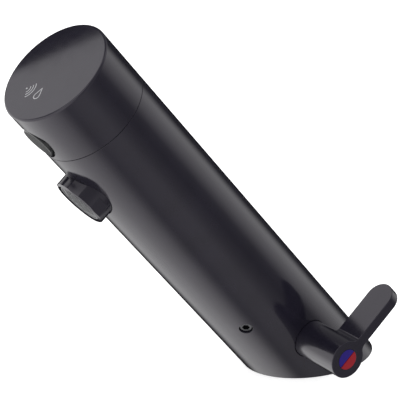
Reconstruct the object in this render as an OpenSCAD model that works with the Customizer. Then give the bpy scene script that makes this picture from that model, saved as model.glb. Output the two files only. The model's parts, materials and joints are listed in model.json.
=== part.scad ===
// Sensor basin tap. One round body leans over the basin. Its underside carries the outlet and the sensor
// window, and a side lever near the deck sets the temperature.
// The origin is where the body's axis meets the deck, +Z is up, -Y is the way the body leans and +X is the
// lever's side. Places "along the body" are measured on its axis from the origin.

/* [Body] */
// Diameter of the round body
body_d = 50; // [45:0.5:56]
// Length of the body's axis, from the deck to the flat end face
body_l = 205; // [204:1:230]
// Lean of the body from the vertical, in degrees
lean = 39.6; // [36:0.2:41]
// Wall of the body shell and of the head shell
shell_wall = 2.5; // [2:0.1:2.7]
// Length of the head, the part that carries the sensor
head_l = 26.6; // [25:0.1:28]
// Width of the seam between the head and the body
seam_w = 0.2; // [0.1:0.1:0.5]
// Chamfer round the end face
end_chamfer = 0.5; // [0.4:0.1:1.5]
// Thickness of the head's end wall
end_wall = 3; // [2:0.1:4]

/* [Lever] */
// Height of the hub's axis along the body
hub_at = 26.4; // [26:0.1:28]
// Diameter of the hub
hub_d = 17.2; // [16:0.1:17.4]
// Distance from the body's side to the hub's end face
hub_out = 25.5; // [23:0.5:35]
// Width of the lever's plate along the hub
paddle_w = 13.9; // [12:0.1:16]
// Thickness of the lever's plate
paddle_t = 5; // [4:0.1:6]
// Reach of the plate from the hub's axis to its tip
paddle_l = 37.8; // [30:0.1:50]
// Rise of the plate above the horizontal at rest, in degrees
paddle_rise = 40.6; // [30:0.1:50]
// Radius of the blend between the plate and the hub
paddle_blend = 3; // [1:0.1:3]
// Diameter of the blue and red index
index_d = 9.2; // [8:0.1:10]
// Thickness of the index
index_t = 1.5; // [1:0.1:2]

/* [Outlet] */
// Place of the outlet along the body
outlet_at = 153.3; // [153:0.1:158]
// Distance from the body's axis to the outlet's face
outlet_reach = 30; // [29:0.1:34]
// Outside diameter of the aerator sleeve
sleeve_d = 24.5; // [24:0.1:25]
// Distance from the body's axis to the foot of the spanner flats
flats_from = 23.8; // [23:0.1:25]
// Size across the spanner flats
flats_af = 23.8; // [23:0.1:23.9]
// Number of spanner flats
flats_n = 6; // [4:2:8]
// Size across one cell of the outlet's grid
cell_af = 2; // [1.6:0.1:2.6]
// Web between the cells of the grid
cell_web = 0.4; // [0.3:0.1:0.6]

/* [Sensor] */
// Distance from the end face back to the window's middle
window_back = 16.85; // [16:0.05:18]
// Diameter of the window
window_d = 15.4; // [13:0.1:16]
// Thickness of the window
window_t = 2.5; // [2:0.1:3]
// Width of the dark seal round the window
window_seal_w = 0.8; // [0.5:0.1:1.2]

/* [Fixings] */
// Place of the body's grub screw along the body
grub_at = 54.3; // [53:0.1:56]
// Turn of the body's grub screw from the underside towards the lever, in degrees
grub_turn = 45.9; // [40:0.1:50]
// Diameter of the body's grub screw
grub_d = 6; // [5:0.5:6]
// Size across its hex socket
grub_key = 3; // [2.5:0.5:3]
// Diameter of the tapped hole for the fixing stud, M8
stud_hole_d = 6.8; // [6:0.1:8.6]
// Depth of the stud's hole
stud_hole_l = 14; // [10:1:18]
// Distance of the stud's hole behind the origin
stud_back = 10; // [9:0.5:12]
// Diameter of the tapped holes for the inlet hoses, M10x1
inlet_d = 9; // [9:0.1:9.6]
// Depth of the inlet threads
inlet_l = 8; // [7:0.5:8]
// Distance between the two inlets
inlet_gap = 18; // [17:0.5:19]
// Distance of the inlets in front of the origin
inlet_front = 2; // [1.5:0.1:2.2]

/* [Valve block] */
// Top of the valve block along the body
block_top = 68; // [67:0.5:72]
// Diameter of the cartridge's bore
cart_bore_d = 18.4; // [18:0.1:18.5]
// Depth of the cartridge's bore past the body's axis
cart_bore_past = 8; // [7:0.1:9]
// Diameter of the lever's stem
stem_d = 6; // [5:0.1:6.4]
// Diameter of the bores that join the valve's spaces
passage_d = 3.6; // [3:0.1:4]
// Set-back of the diaphragm valve behind the body's axis, as a share of the body's diameter
valve_back_share = 0.12; // [0.11:0.005:0.13]
// Diameter of the diaphragm, as a share of the body's diameter
diaphragm_share = 0.4; // [0.39:0.005:0.41]
// Thickness of the bonnet's flange
bonnet_t = 6; // [5:0.5:8]
// Length of the solenoid's coil
coil_l = 20; // [16:1:22]
// Travel of the plunger
plunger_travel = 2; // [1:0.5:2.5]
// Travel of the check valves' poppets
poppet_travel = 1.5; // [1:0.1:1.8]

/* [Water tube] */
// Outside diameter of the tube to the outlet
tube_d = 7; // [6:0.5:7]
// Wall of the tube
tube_wall = 0.75; // [0.5:0.05:1]
// Distance of the tube in front of the body's axis, as a share of the body's diameter
tube_front_share = 0.264; // [0.26:0.002:0.27]

/* [Battery] */
// Width of the 6 V battery pack, as a share of the body's diameter
battery_w_share = 0.68; // [0.6:0.01:0.68]
// Thickness of the pack, as a share of the body's diameter
battery_t_share = 0.39; // [0.34:0.01:0.39]
// Length of the pack
battery_l = 36; // [34:0.5:36]
// Set-back of the pack's middle behind the body's axis, as a share of the body's diameter
battery_back_share = 0.064; // [0.06:0.002:0.068]
// Start of the battery holder along the body
holder_at = 110; // [109:0.5:114]
// Thickness of the holder's plates
plate_t = 1.5; // [1:0.1:1.6]

/* [Hidden] */
$fn = 96;

// The dark finish of the tap's outside
finish = [0.16, 0.155, 0.17];

// Clearances: fit is between pieces that seat in each other, run between a shaft and its bore, free between
// pieces that pass each other
fit = 0.1;
run = 0.05;
free = 0.3;
// How far a cutting solid stands past the face it opens
past = 1;

// Body
body_r = body_d / 2;
shell_in = body_r - shell_wall;
inner_r = shell_in - 2 * fit;
seam_at = body_l - head_l;
window_at = body_l - window_back;
below_deck = body_r * tan(lean) + past;

// Head spigot, which plugs into the body
spigot_l = 8.3;
spigot_t = 2;
spigot_in = inner_r - spigot_t;
spigot_from = seam_at - spigot_l;
ring_d = 1.1;
ring_groove = 1.4;
ring_depth = 1;
head_ring_from = spigot_from + 1.6;
head_grub_d = 3;
head_grub_at = seam_at - 2.8;

// Lever
hub_y = -hub_at * sin(lean);
hub_z = hub_at * cos(lean);
hub_r = hub_d / 2;
hub_from = 18.5;
hub_end = body_r + hub_out;
stem_r = stem_d / 2;
stem_flat = 0.5;
stem_end = 32;
lever_screw_d = 4;
lever_screw_head_d = 7;
lever_screw_head_l = 4;
screw_land = 6;
screw_seat = stem_end + screw_land;
screw_from = 24;
index_r = index_d / 2;

// Cartridge, along the lever's axis
cart_floor = -cart_bore_past;
cart_r = cart_bore_d / 2 - 2 * fit;
port_seal_t = 0.8;
cup_from = cart_floor + port_seal_t;
cup_floor = 2.2;
cup_wall = 1.4;
cup_in = cart_r - cup_wall;
cup_end = 9;
disc_t = 3;
fixed_from = cup_from + cup_floor + fit;
moving_from = fixed_from + disc_t + fit;
moving_r = cup_in - 1;
carrier_from = moving_from + disc_t + fit;
carrier_t = 3.4;
key_t = 1.5;
key_w = 2.4;
key_l = 9;
cap_from = carrier_from + carrier_t + free;
cap_end = 13.9;
stem_ring_from = cap_from + 2;
nut_from = cap_end + fit;
nut_l = 4;
port_r = 1.6;
port_at = 4.2;
port_turns = [90, 210, 330];

// Inlets and their check valves, upright
valve_bore_r = inlet_d / 2 - 0.2;
check_r = valve_bore_r - fit;
strainer_from = inlet_l + fit;
strainer_t = 1.9;
check_from = strainer_from + strainer_t + 2 * fit;
check_l = 10.3 + poppet_travel;
check_top = check_from + check_l;
check_seat = 1.8;
check_in = check_r - 0.9;
spider_t = 1.5;
poppet_from = check_from + check_seat + run;
poppet_t = 1.15;
poppet_r = 2.8;
poppet_stem_r = 0.7;
poppet_top = check_top - spider_t + free;
check_spring_from = poppet_from + poppet_t + 0.1;
check_spring_to = check_top - spider_t - 0.1;

// Base seal
base_ring_d = 1.8;
base_ring_r = inner_r - 2.7;

// Diaphragm valve, along the body. Its parts grow from the diaphragm outwards.
valve_back = valve_back_share * body_d;
diaphragm_d = diaphragm_share * body_d;
diaphragm_t = 1.5;
diaphragm_ledge = 0.5;
recess_l = 2;
recess_floor = block_top - recess_l;
ring_chamber_l = 5;
ring_chamber_out = diaphragm_d / 2 - diaphragm_ledge;
seat_out = 5.5;
seat_in = 3.2;
seat_low = 56;
bonnet_screw_d = 3;
bonnet_screw_head_d = 4.6;
bonnet_screw_land = 0.25;
bonnet_screw_at = diaphragm_d / 2 + fit + bonnet_screw_land + bonnet_screw_d / 2 + run;
bonnet_screw_l = 10;
bonnet_d = 2 * bonnet_screw_at + bonnet_screw_head_d + 2 * free;
coil_d = 2 * bonnet_screw_at - bonnet_screw_head_d - 4 * free;
guide_r = 4.6;
plunger_r = 3;
plunger_l = 14;
plunger_from = block_top + 2.5;
plunger_room = 6 + plunger_travel;
spring_from = plunger_from + plunger_l + 0.1;
spring_to = spring_from + plunger_room;
yoke_t = 1.5;
yoke_w = 12;
yoke_from = block_top + bonnet_t;
coil_from = yoke_from + yoke_t + fit;
coil_to = coil_from + coil_l;
guide_top = max(spring_to + 2, coil_to + yoke_t + 2);

// Water tube
tube_front = tube_front_share * body_d;
tube_r = tube_d / 2;
tube_socket_l = 8;
tube_from = block_top - tube_socket_l + 0.2;
tube_ring_r = tube_r + 1.2;
tube_ring_l = 1.4;

// Outlet
sleeve_r = sleeve_d / 2;
seat_r = sleeve_r + 1.75;
seat_end = 19.8;
seat_wall = 2;
chamber_r = 8;
thread_r = 11;
thread_floor = 16;
washer_t = 1;
sleeve_from = seat_end + fit;
spigot_end = thread_floor + washer_t + fit;
ledge_at = 21;
sleeve_in = 10.9;
spigot_bore = 9.4;
cup_flange_t = 1.5;
insert_r = 10;
insert_wall = 0.9;
insert_set_back = 0.5;
grid_set_back = 0.8;
grid_t = 2;
neck_l = 8;
neck_r = tube_ring_r + 0.6;
neck_from = outlet_at - seat_r - neck_l + 1.8;
neck_to = outlet_at - seat_r + 2.2;
tube_to = neck_to - 1;

// Battery holder
battery_w = battery_w_share * body_d;
battery_t = battery_t_share * body_d;
battery_back = battery_back_share * body_d;
battery_from = holder_at + plate_t + 1.2;
battery_to = battery_from + battery_l;
holder_to = battery_to + fit + plate_t;
holder_wall = 1.1;
holder_front = battery_t / 2 - battery_back + fit + holder_wall;
seat_back = holder_front + fit + 3 * run;
lead_r = 0.5;
lead_x = (spigot_in + battery_w / 2 + lead_r) / 2;
contact_w = 6;
contact_at = 10;
lead_rise = 6;

// Sensor
window_r = window_d / 2;
window_hole_r = window_r + window_seal_w;
window_back_at = body_r - window_t;
housing_r = window_hole_r - 2 * fit;
housing_l = 9.5;
housing_from = window_back_at - housing_l;
housing_to = window_back_at - fit;
board_t = 1.2;
board_w = 2 * housing_from + 2;
board_l = 20;
eye_r = 2.4;
eye_apart = 7;
eye_l = 6;

// A point given along the tilted body, in the frame of the deck
function tilted(p) = [p.x, p.y * cos(lean) - p.z * sin(lean), p.y * sin(lean) + p.z * cos(lean)];

// Puts its children in the body's own frame: +Z along the body, -Y out of its underside
module along_body() {
    rotate([lean, 0, 0]) children();
}

// Puts its children in the lever's frame: +Z along the hub, +X along the lever's plate
module along_lever() {
    translate([0, hub_y, hub_z]) rotate([paddle_rise, 0, 0]) rotate([90, 0, 90]) children();
}

// Points its children's +Z out of the body's underside, at a place along the body
module out_of_underside(at) {
    translate([0, 0, at]) rotate([90, 0, 0]) children();
}

// A round bar from one point to another
module rod(a, b, r) {
    d = b - a;
    translate(a) rotate([0, acos(d.z / norm(d)), atan2(d.y, d.x)]) cylinder(r = r, h = norm(d));
}

// A bar that starts and ends at given heights
module bar(r, from, to) {
    translate([0, 0, from]) cylinder(r = r, h = to - from);
}

// A tube between two heights
module pipe(r, bore, from, to) {
    difference() {
        bar(r, from, to);
        bar(bore, from - past, to + past);
    }
}

// A sealing ring of round section, with its middle at a given height
module seal_ring(r, section, at) {
    translate([0, 0, at]) rotate_extrude() translate([r, 0]) circle(d = section, $fn = 32);
}

// The faces that close a tube made of rings of points
function tube_faces(rings, sides) =
    let (last = (rings - 1) * sides)
    concat(
        [
            for (i = [0 : rings - 2], k = [0 : sides - 1], half = [0, 1])
                let (a = i * sides + k, b = i * sides + (k + 1) % sides)
                half == 0 ? [a, b, b + sides] : [a, b + sides, a + sides]
        ],
        [for (k = [1 : sides - 2]) [0, k + 1, k]],
        [for (k = [1 : sides - 2]) [last, last + k, last + k + 1]]
    );

function unit(v) = v / norm(v);

// The way a line of points runs at one of them
function way(points, i) = unit(
    (i == 0 ? [0, 0, 0] : unit(points[i] - points[i - 1]))
    + (i == len(points) - 1 ? [0, 0, 0] : unit(points[i + 1] - points[i]))
);

// An insulated lead along a list of points
lead_sides = 8;

module lead(points, r) {
    rings = [
        for (i = [0 : len(points) - 1], k = [0 : lead_sides - 1])
            let (
                along = way(points, i),
                across = unit(cross(along, [0.2, 1, 0.1])),
                up = cross(across, along),
                turn = 360 * k / lead_sides
            )
            points[i] + r * (cos(turn) * across + sin(turn) * up)
    ];
    polyhedron(points = rings, faces = tube_faces(len(points), lead_sides), convexity = 6);
}

// Everything above the deck
module above_deck() {
    intersection() {
        children();
        translate([-body_l, -2 * body_l, 0]) cube([2 * body_l, 3 * body_l, 2 * body_l]);
    }
}

// Coil springs: one tube of six sides with eight rings to a curl
curl_rings = 8;
wire_sides = 6;

function coil_centres(r, from, to, curls) = [
    for (i = [0 : curls * curl_rings])
        [r * cos(360 * i / curl_rings), r * sin(360 * i / curl_rings), from + (to - from) * i / (curls * curl_rings)]
];

function coil_wire(centres, wire_r) = [
    for (i = [0 : len(centres) - 1], k = [0 : wire_sides - 1])
        let (
            turn = 360 * i / curl_rings,
            side = 360 * k / wire_sides,
            out = wire_r * cos(side)
        )
        centres[i] + [out * cos(turn), out * sin(turn), wire_r * sin(side)]
];

// Least distance between wires one curl apart, less the wire itself
function coil_gap(centres, wire_r) = min([
    for (i = [0 : len(centres) - 1 - curl_rings]) norm(centres[i + curl_rings] - centres[i]) - 2 * wire_r
]);

module coil_spring(r, wire_r, from, to, curls) {
    centres = coil_centres(r, from + wire_r, to - wire_r, curls);
    echo(least_gap = coil_gap(centres, wire_r));
    polyhedron(points = coil_wire(centres, wire_r), faces = tube_faces(len(centres), wire_sides), convexity = 8);
}

// Body and head

module body_shell() {
    color(finish) above_deck() along_body() difference() {
        pipe(body_r, shell_in, -below_deck, seam_at);
        translate([0, 0, hub_at]) rotate([0, 90, 0]) cylinder(r = hub_r + free, h = body_r + past);
        out_of_underside(outlet_at) cylinder(r = sleeve_r + fit, h = body_r + past);
        radial_bore(grub_at, grub_turn, grub_d / 2, shell_in - past, body_r + past);
        radial_bore(head_grub_at, -90, head_grub_d / 2, shell_in - past, body_r + past);
    }
}

// A bore that runs out from the body's axis, turned from the underside towards the lever's side
module radial_bore(at, turn, r, from, to) {
    translate([0, 0, at]) rotate([0, 0, turn]) rotate([90, 0, 0]) bar(r, from, to);
}

module head_shell() {
    color(finish) along_body() difference() {
        union() {
            bar(body_r, seam_at + seam_w, body_l - end_chamfer);
            translate([0, 0, body_l - end_chamfer])
                cylinder(r1 = body_r, r2 = body_r - end_chamfer, h = end_chamfer);
            bar(inner_r, spigot_from, seam_at + seam_w + past);
        }
        bar(spigot_in, spigot_from - past, seam_at + seam_w + shell_wall);
        bar(shell_in, seam_at + seam_w + shell_wall, body_l - end_wall);
        pipe(inner_r + past, inner_r - ring_depth, head_ring_from, head_ring_from + ring_groove);
        out_of_underside(window_at) cylinder(r = window_hole_r, h = body_r + past);
        radial_bore(head_grub_at, -90, head_grub_d / 2 + fit, spigot_in - past, body_r + past);
    }
}

module head_seal() {
    color("black") along_body()
        seal_ring(inner_r - ring_depth + ring_d / 2 + run, ring_d, head_ring_from + ring_groove / 2);
}

// A grub screw along +Z, its socket at the far end
module grub_screw(d, key, from, to) {
    difference() {
        bar(d / 2 - run, from, to);
        translate([0, 0, to - key]) cylinder(d = key / cos(30), h = key + past, $fn = 6);
    }
}

module body_grub_screw() {
    color([0.2, 0.2, 0.21]) along_body() translate([0, 0, grub_at]) rotate([0, 0, grub_turn]) rotate([90, 0, 0])
        grub_screw(grub_d, grub_key, shell_in - 3, body_r - 0.9);
}

module head_grub_screw() {
    color("dimgray") along_body() translate([0, 0, head_grub_at]) rotate([0, 0, -90]) rotate([90, 0, 0])
        grub_screw(head_grub_d, head_grub_d / 2, spigot_in + 0.2, body_r - 0.5);
}

// Valve block with its seal, inlets and passages

module base_seal() {
    color("black") seal_ring(base_ring_r, base_ring_d, base_ring_d / 2 + run);
}

module at_inlets() {
    for (side = [-1, 1]) translate([side * inlet_gap / 2, -inlet_front, 0]) children();
}

// Where the cartridge's ports open in the floor of its bore: hot, mixed and cold
ports = [for (turn = port_turns) [cart_floor, hub_y + port_at * cos(turn), hub_z + port_at * sin(turn)]];

// A drilling through a point, towards another, that starts a little before the first
module drilling(a, b, r) {
    rod(a - 1.4 * unit(b - a), b, r);
}

module valve_passages() {
    behind = cart_floor - 3;
    step = [behind - cart_floor, 0, 0];
    cross_r = passage_d / 2;
    hot_level = check_top + 3.5;
    // The short bores behind the three ports
    for (port = ports) rod(port + [past / 2, 0, 0], port + step - [0.2, 0, 0], port_r - 0.1);
    // Cold water, from its check valve to its port
    drilling(ports[2] + step, [behind, -inlet_front, check_top - 0.8], cross_r);
    // Hot water, up from its check valve, across above the cold one and on to its port
    translate([inlet_gap / 2, -inlet_front, 0]) bar(cross_r, check_top - past, hot_level + cross_r + 0.2);
    rod([inlet_gap / 2, -inlet_front, hot_level], [behind, -inlet_front, hot_level], cross_r - 0.2);
    rod(ports[0] + step - [0, 1.4, 0], [behind, -inlet_front + cross_r + 0.4, hot_level], cross_r);
    // Mixed water, up to the ring under the diaphragm
    drilling(ports[1] + step,
        tilted([-(ring_chamber_out + seat_out) / 2, valve_back, recess_floor - ring_chamber_l + past]), cross_r);
}

module valve_block() {
    valve_out = seat_low + passage_d / 2 + 0.7;
    color("goldenrod") difference() {
        above_deck() along_body() difference() {
            bar(inner_r, -below_deck, block_top);
            translate([0, 0, hub_at]) rotate([0, 90, 0]) bar(cart_bore_d / 2, cart_floor, body_r);
            translate([0, valve_back, 0]) {
                bar(diaphragm_d / 2 + fit, recess_floor, block_top + past);
                pipe(ring_chamber_out, seat_out, recess_floor - ring_chamber_l, recess_floor + fit);
                bar(seat_in, seat_low, recess_floor + past);
                for (turn = [45 : 90 : 315]) rotate([0, 0, turn]) translate([bonnet_screw_at, 0, 0])
                    bar(bonnet_screw_d / 2 + run, block_top - bonnet_screw_l + bonnet_t, block_top + past);
            }
            translate([0, -tube_front, 0]) {
                bar(tube_r + run, block_top - tube_socket_l, block_top + past);
                bar(tube_r - tube_wall, seat_low, block_top);
                bar(tube_ring_r, block_top - tube_ring_l, block_top + past);
            }
            rod([0, valve_back, valve_out], [0, -tube_front, valve_out], passage_d / 2);
            radial_bore(grub_at, grub_turn, grub_d / 2 + 0.2, shell_in - 3.3, body_r);
        }
        at_inlets() {
            bar(inlet_d / 2, -past, inlet_l);
            bar(valve_bore_r, inlet_l - fit, poppet_top + poppet_travel + 2 * fit);
        }
        translate([0, stud_back, 0]) bar(stud_hole_d / 2, -past, stud_hole_l);
        pipe(base_ring_r + base_ring_d / 2 + fit, base_ring_r - base_ring_d / 2 - fit, -past, base_ring_d + fit);
        // The land outside the seal stands a little off the deck
        pipe(2 * body_r, base_ring_r, -past, free);
        valve_passages();
    }
}

module inlet_strainers() {
    hole_r = 0.6;
    hole_pitch = 1.4;
    color("lightgray") at_inlets() difference() {
        bar(check_r, strainer_from, strainer_from + strainer_t);
        bar(check_r - 0.6, strainer_from + 0.7, strainer_from + strainer_t + past);
        translate([0, 0, strainer_from]) for (ring = [0 : 2], i = [0 : max(0, 6 * ring - 1)])
            rotate([0, 0, ring > 0 ? 60 * i / ring : 0]) translate([hole_pitch * ring, 0, -past])
                cylinder(r = hole_r, h = 3 * past, $fn = 16);
    }
}

module check_valve() {
    difference() {
        bar(check_r, check_from, check_top);
        bar(poppet_r - 0.8, check_from - past, check_from + check_seat + past);
        bar(check_in, check_from + check_seat, check_top - spider_t);
        bar(poppet_stem_r + run, check_top - spider_t - past, check_top + past);
        for (turn = [0 : 120 : 240]) rotate([0, 0, turn]) translate([2.1, 0, 0])
            bar(0.9, check_top - spider_t - past, check_top + past);
    }
}

module poppet() {
    bar(poppet_r, poppet_from, poppet_from + poppet_t);
    bar(poppet_stem_r, poppet_from + fit, poppet_top);
}

module check_spring() {
    coil_spring(1.6, 0.25, check_spring_from, check_spring_to, 5);
}

module at_inlet(side) {
    translate([side * inlet_gap / 2, -inlet_front, 0]) children();
}

module check_valve_cold() { color("whitesmoke") at_inlet(-1) check_valve(); }
module check_valve_hot() { color("whitesmoke") at_inlet(1) check_valve(); }
module poppet_cold() { color("royalblue") at_inlet(-1) poppet(); }
module poppet_hot() { color("firebrick") at_inlet(1) poppet(); }
module spring_cold() { color("silver") at_inlet(-1) check_spring(); }
module spring_hot() { color("silver") at_inlet(1) check_spring(); }

// Mixing cartridge. Its ports don't turn with the lever, so it has a frame of its own.

module along_cartridge() {
    translate([0, hub_y, hub_z]) rotate([90, 0, 90]) children();
}

module at_ports() {
    for (turn = port_turns) rotate([0, 0, turn]) translate([port_at, 0, 0]) children();
}

module mixing_cartridge() {
    color("whitesmoke") along_cartridge() difference() {
        bar(cart_r, cup_from, cup_end);
        bar(cup_in, cup_from + cup_floor, cup_end + past);
        at_ports() bar(port_r, cup_from - past, cup_end);
    }
}

module cartridge_seals() {
    color("black") along_cartridge() at_ports() seal_ring(port_r + 0.5, port_seal_t - fit, cart_floor + port_seal_t / 2);
}

module fixed_disc() {
    color("ivory") along_cartridge() difference() {
        bar(cup_in - fit, fixed_from, fixed_from + disc_t);
        at_ports() bar(port_r, fixed_from - past, fixed_from + disc_t + past);
    }
}

module moving_disc() {
    color("ivory") along_lever() difference() {
        bar(moving_r, moving_from, moving_from + disc_t);
        translate([0, 0, moving_from - past]) linear_extrude(1.5 + past) difference() {
            circle(r = port_at + port_r);
            circle(r = port_at - port_r);
            translate([-moving_r, -moving_r]) square([2 * moving_r, moving_r]);
        }
        translate([-key_l / 2 - fit, -key_w / 2 - fit, moving_from + disc_t - key_t - fit])
            cube([key_l + 2 * fit, key_w + 2 * fit, key_t + past]);
    }
}

// The flat-sided bar that carries the lever, made larger by a clearance where it is cut from the hub
module stem_flats(gap, from, to) {
    intersection() {
        bar(stem_r + gap, from, to);
        translate([-stem_d, -stem_r + stem_flat - gap, from]) cube([2 * stem_d, stem_d - 2 * stem_flat + 2 * gap, to - from]);
    }
}

module lever_stem() {
    color("goldenrod") along_lever() difference() {
        union() {
            bar(moving_r, carrier_from, carrier_from + carrier_t);
            bar(stem_r, carrier_from + carrier_t - fit, hub_from - fit);
            stem_flats(0, hub_from - 2 * fit, stem_end);
            translate([-key_l / 2, -key_w / 2, carrier_from - key_t]) cube([key_l, key_w, key_t + fit]);
        }
        bar(lever_screw_d / 2, screw_from - past, stem_end + past);
    }
}

module stem_seal() {
    color("black") along_cartridge() seal_ring(stem_r + run + ring_d / 2, ring_d, stem_ring_from + ring_groove / 2);
}

module cartridge_cap() {
    color("whitesmoke") along_cartridge() difference() {
        union() {
            bar(cup_in - fit, cap_from, cup_end + past);
            bar(cart_r, cup_end + fit, cap_end);
        }
        bar(stem_r + run, cap_from - past, cap_end + past);
        bar(stem_r + ring_d + 2 * fit, stem_ring_from, stem_ring_from + ring_groove);
    }
}

module cartridge_nut() {
    color("goldenrod") along_cartridge() difference() {
        bar(cart_bore_d / 2 - run, nut_from, nut_from + nut_l);
        bar(stem_r + 1, nut_from - past, nut_from + nut_l + past);
        for (turn = [0, 90]) rotate([0, 0, turn]) translate([-cart_bore_d, -1.2, nut_from + nut_l - 1.5])
            cube([2 * cart_bore_d, 2.4, 1.5 + past]);
    }
}

// Lever

// Fills the corner between the hub and one side of the plate with a hollow round of the blend's radius. It
// sinks a little into both, so that no face only touches another.
function blend_outline() =
    let (
        sink = 0.04,
        steps = 12,
        rise = paddle_t / 2 + paddle_blend - sink,
        out = sqrt(pow(hub_r + paddle_blend - sink, 2) - rise * rise),
        down = atan2(rise, out)
    )
    concat(
        [[out, 0], [0, 0]],
        [
            for (i = [0 : steps])
                let (turn = 180 + down + (90 - down) * i / steps)
                [out + paddle_blend * cos(turn), rise + paddle_blend * sin(turn)]
        ]
    );

module lever() {
    tip_r = paddle_w / 2;
    color(finish) along_lever() difference() {
        union() {
            bar(hub_r, hub_from, hub_end);
            translate([0, 0, hub_end - paddle_w]) linear_extrude(paddle_w) {
                polygon(blend_outline());
                mirror([0, 1]) polygon(blend_outline());
            }
            translate([0, paddle_t / 2, hub_end - tip_r]) rotate([90, 0, 0]) linear_extrude(paddle_t) {
                translate([0, -tip_r]) square([paddle_l - tip_r, paddle_w]);
                translate([paddle_l - tip_r, 0]) circle(r = tip_r);
            }
        }
        stem_flats(run, hub_from - past, stem_end + fit);
        bar(lever_screw_d / 2 + fit, stem_end - past, hub_end);
        bar(lever_screw_head_d / 2 + 2 * fit, screw_seat, hub_end);
        bar(index_r + fit, hub_end - index_t, hub_end + past);
    }
}

module lever_screw() {
    color("dimgray") along_lever() difference() {
        union() {
            bar(lever_screw_d / 2 - run, screw_from, screw_seat + fit);
            bar(lever_screw_head_d / 2, screw_seat + run, screw_seat + lever_screw_head_l);
        }
        translate([0, 0, screw_seat + lever_screw_head_l - 2]) cylinder(d = 3 / cos(30), h = 2 + past, $fn = 6);
    }
}

// One half of the index, split along the lever's plate
module index_half(side) {
    split = 2 * fit;
    along_lever() intersection() {
        bar(index_r, hub_end - index_t + fit / 2, hub_end);
        translate([-index_d, side > 0 ? split : -index_d - split, hub_end - 2 * index_t])
            cube([2 * index_d, index_d, 3 * index_t]);
    }
}

module index_blue() { color([0.2, 0.14, 0.5]) index_half(1); }
module index_red() { color([0.59, 0.14, 0.18]) index_half(-1); }

// Diaphragm valve and solenoid

module along_valve() {
    along_body() translate([0, valve_back, 0]) children();
}

module diaphragm() {
    color("black") along_valve() difference() {
        bar(diaphragm_d / 2, recess_floor + run, recess_floor + diaphragm_t);
        translate([seat_out + 1.5, 0, 0]) bar(0.5, recess_floor - past, block_top);
    }
}

module valve_bonnet() {
    color("darkslategray") along_valve() difference() {
        union() {
            bar(bonnet_d / 2, block_top, block_top + bonnet_t);
            bar(diaphragm_d / 2 - fit, recess_floor + diaphragm_t + run, block_top + past);
            bar(guide_r, block_top + bonnet_t - past, guide_top);
        }
        bar(plunger_r + run, plunger_from - 0.5, spring_to + fit);
        bar(plunger_r - 1.2, recess_floor, plunger_from);
        for (turn = [45 : 90 : 315]) rotate([0, 0, turn]) translate([bonnet_screw_at, 0, 0])
            bar(bonnet_screw_d / 2 + fit, block_top - past, block_top + bonnet_t + past);
    }
}

module bonnet_screws() {
    head_l = 2.2;
    top = block_top + bonnet_t;
    color("dimgray") along_valve() for (turn = [45 : 90 : 315]) rotate([0, 0, turn])
        translate([bonnet_screw_at, 0, 0]) difference() {
            union() {
                bar(bonnet_screw_d / 2, top - bonnet_screw_l + 0.3, top + past);
                bar(bonnet_screw_head_d / 2, top + run, top + head_l);
            }
            translate([0, 0, top + head_l - 1.2]) cylinder(d = 2.5 / cos(30), h = 1.2 + past, $fn = 6);
        }
}

module solenoid_coil() {
    color("darkorange") along_valve() difference() {
        pipe(coil_d / 2, guide_r + fit, coil_from, coil_to);
        pipe(coil_d / 2 + past, coil_d / 2 - 1, coil_from + 1.5, coil_to - 1.5);
    }
}

module solenoid_yoke() {
    top = coil_to + fit;
    color("gray") along_valve() difference() {
        translate([-coil_d / 2 - yoke_t - fit, -yoke_w / 2, yoke_from + run])
            cube([coil_d + 2 * yoke_t + 2 * fit, yoke_w, top + yoke_t - yoke_from - run]);
        translate([-coil_d / 2 - fit, -yoke_w, yoke_from + yoke_t])
            cube([coil_d + 2 * fit, 2 * yoke_w, top - yoke_from - yoke_t]);
        bar(guide_r + fit, yoke_from - past, top + 2 * yoke_t);
        for (turn = [45 : 90 : 315]) rotate([0, 0, turn]) translate([bonnet_screw_at, 0, 0])
            bar(bonnet_screw_head_d / 2 + fit, yoke_from - past, yoke_from + 3);
    }
}

module plunger() {
    color("lightgray") along_valve() bar(plunger_r, plunger_from, plunger_from + plunger_l);
}

module plunger_spring() {
    color("silver") along_valve() coil_spring(plunger_r - 0.7, 0.3, spring_from, spring_to, 6);
}

// Water tube, outlet seat and aerator

module along_tube() {
    along_body() translate([0, -tube_front, 0]) children();
}

module outlet_tube() {
    color("peru") along_tube() pipe(tube_r, tube_r - tube_wall, tube_from, tube_to);
}

module tube_seals() {
    section = tube_ring_r - tube_r - 2 * run;
    color("black") along_tube() {
        seal_ring(tube_r + run + section / 2, section, block_top - tube_ring_l / 2);
        seal_ring(tube_r + run + section / 2, section, neck_from + tube_ring_l / 2);
    }
}

module outlet_seat() {
    color("goldenrod") along_body() difference() {
        intersection() {
            union() {
                out_of_underside(outlet_at) bar(seat_r, seat_back, seat_end);
                translate([0, -tube_front, 0]) bar(neck_r, neck_from, neck_to + past);
            }
            bar(inner_r, neck_from - past, outlet_at + seat_r + past);
        }
        out_of_underside(outlet_at) {
            bar(chamber_r, seat_back + seat_wall, thread_floor + past);
            bar(thread_r, thread_floor, body_r);
        }
        translate([0, -tube_front, 0]) {
            bar(tube_r + run, neck_from - past, tube_to + fit);
            bar(tube_r - tube_wall, neck_from, outlet_at - chamber_r + 2);
            bar(tube_ring_r, neck_from - past, neck_from + tube_ring_l);
        }
    }
}

module aerator_washer() {
    color("black") along_body() out_of_underside(outlet_at)
        pipe(thread_r - 0.2, chamber_r + 0.4, thread_floor + run, thread_floor + washer_t);
}

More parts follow.
